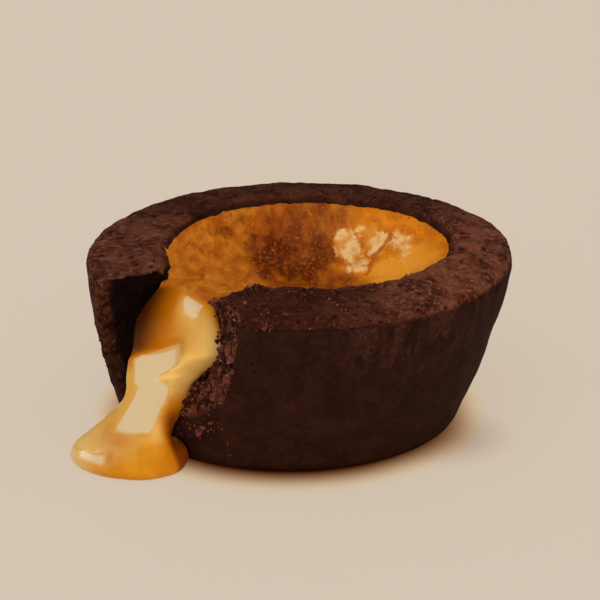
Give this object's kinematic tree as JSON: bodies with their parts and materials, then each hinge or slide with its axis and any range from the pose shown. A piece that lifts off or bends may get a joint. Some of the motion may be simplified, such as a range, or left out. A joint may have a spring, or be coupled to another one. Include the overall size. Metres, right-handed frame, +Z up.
{
  "type": "chocolate lava cake",
  "caption": "Round single-serving chocolate sponge, sunken in the middle and broken open at its front left, with caramel filling that runs out into a puddle.",
  "frame": {"origin": "centre of the sponge's flat base, on the surface that it stands on", "axes": "+Z up, -Y to the front, +X to the right as seen from the front; the caramel runs out to the front left"},
  "size_m": [0.0786, 0.0762, 0.0336],
  "materials": {
    "sponge": "dry, crumbly dark chocolate sponge",
    "caramel": "wet, glossy golden-brown caramel"
  },
  "bodies": {
    "root": {"cake": "sponge", "caramel": "caramel"}
  },
  "joints": []
}
